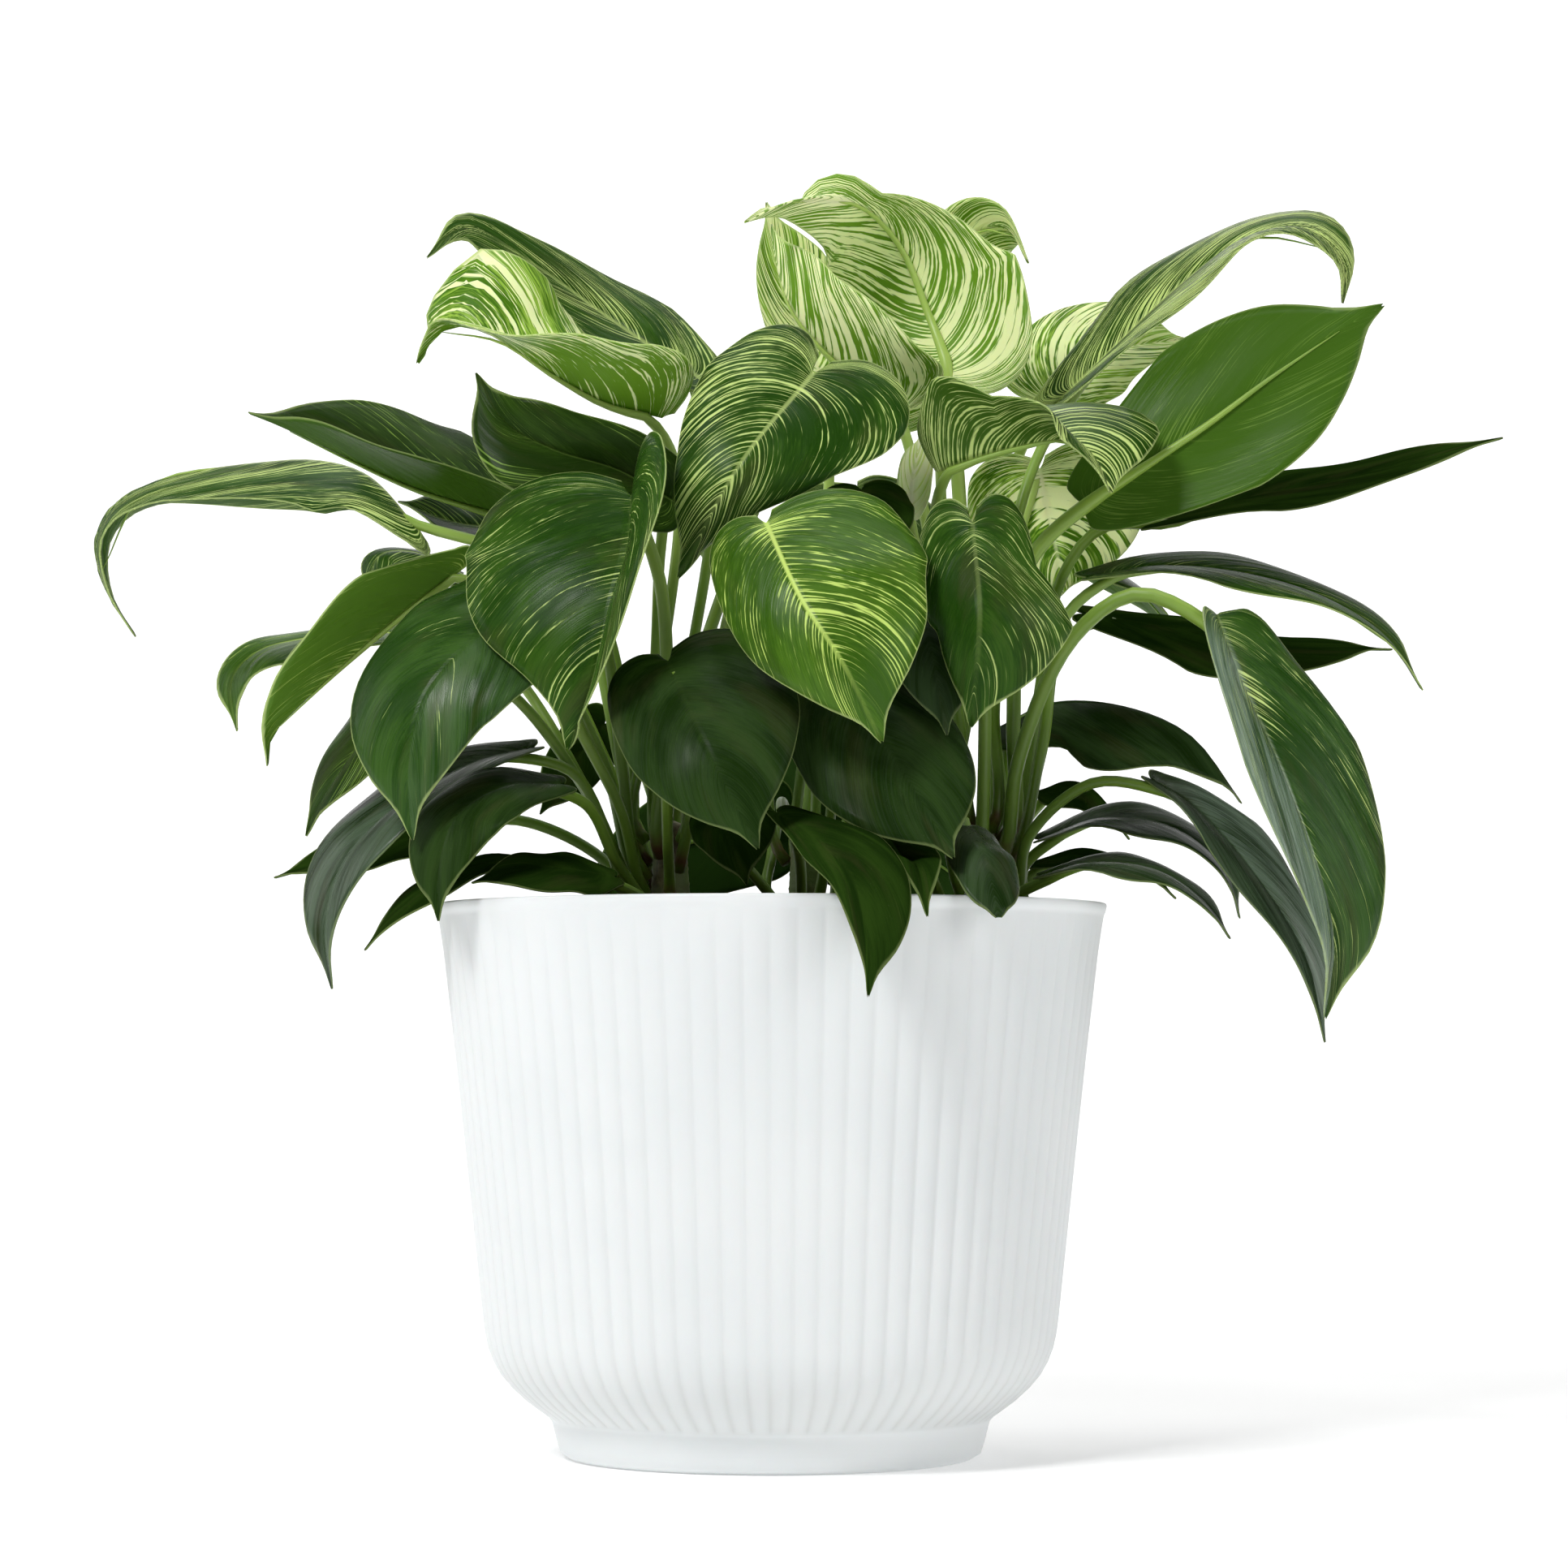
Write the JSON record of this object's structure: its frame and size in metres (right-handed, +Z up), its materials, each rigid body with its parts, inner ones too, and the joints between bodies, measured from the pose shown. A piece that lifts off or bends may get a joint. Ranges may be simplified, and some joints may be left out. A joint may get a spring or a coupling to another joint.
{
  "type": "potted variegated birkin philodendron",
  "caption": "Bushy variegated philodendron with pointed, thinly striped leaves on long stalks, standing in a fluted white pot.",
  "frame": {"origin": "centre of the pot's foot, on the surface that it stands on", "axes": "+X to the right in the front view, +Y to the back, +Z up"},
  "size_m": [0.3776, 0.2278, 0.3424],
  "materials": {
    "pot": "satin, cool white",
    "soil": "matt, crumbly potting mix",
    "crown": "matt, fibrous stem",
    "leaf_young": "waxy, soft gloss",
    "leaf_cream": "waxy, soft gloss",
    "leaf_bright": "waxy, soft gloss",
    "leaf_striped": "waxy, soft gloss, with thin pale stripes along the veins",
    "leaf_plain": "waxy, soft gloss",
    "leaf_old": "waxy, soft gloss, dusty"
  },
  "bodies": {
    "root": {"pot": "pot", "soil": "soil", "crown_left": "crown", "crown_right": "crown", "crown_back": "crown", "leaf_upper_left_back": "leaf_striped", "leaf_left_bright": "leaf_young", "leaf_left_dark_upright": "leaf_plain", "leaf_left_mid_long": "leaf_plain", "leaf_left_hook": "leaf_striped", "leaf_left_back_striped": "leaf_striped", "leaf_front_left_striped": "leaf_striped", "leaf_front_left_low": "leaf_striped", "leaf_left_long_narrow": "leaf_bright", "leaf_left_outer_small": "leaf_bright", "leaf_left_small_bright": "leaf_striped", "leaf_low_left_glossy": "leaf_old", "leaf_low_left_back": "leaf_old", "leaf_left_behind_low": "leaf_plain", "leaf_low_left_dark": "leaf_old", "leaf_low_left_over_rim": "leaf_old", "leaf_low_left_shaded": "leaf_old", "leaf_left_pale_back": "leaf_old", "leaf_center_striped": "leaf_striped", "leaf_front_bright": "leaf_bright", "leaf_center_dark": "leaf_old", "leaf_center_right_dark": "leaf_old", "leaf_right_front_dark": "leaf_striped", "leaf_over_rim_front": "leaf_old", "leaf_over_rim_small": "leaf_old", "leaf_center_behind": "leaf_old", "leaf_center_small_dark": "leaf_old", "leaf_round_over_rim": "leaf_old", "leaf_center_shaded_low": "leaf_old", "leaf_top_big": "leaf_young", "leaf_top_front_fold": "leaf_young", "leaf_top_pale_behind": "leaf_young", "leaf_top_right_behind": "leaf_young", "leaf_top_folded_front": "leaf_striped", "leaf_top_bright_behind": "leaf_young", "leaf_top_right_arch": "leaf_striped", "leaf_new_leaf": "leaf_cream", "leaf_right_bright_behind": "leaf_young", "leaf_right_big": "leaf_plain", "leaf_right_long_dark": "leaf_old", "leaf_right_arch": "leaf_striped", "leaf_right_mid_back": "leaf_old", "leaf_right_front_droop": "leaf_striped", "leaf_right_low_back": "leaf_old", "leaf_right_low_long": "leaf_old", "leaf_right_low_pale": "leaf_old", "leaf_right_low_arch": "leaf_old", "leaf_right_low_inner": "leaf_old", "leaf_right_low_front": "leaf_old", "leaf_back_left_high": "leaf_plain", "leaf_back_middle_high": "leaf_striped", "leaf_back_right_high": "leaf_plain", "leaf_back_left_low": "leaf_old", "leaf_back_middle_low": "leaf_old", "leaf_back_right_low": "leaf_old"}
  },
  "joints": []
}
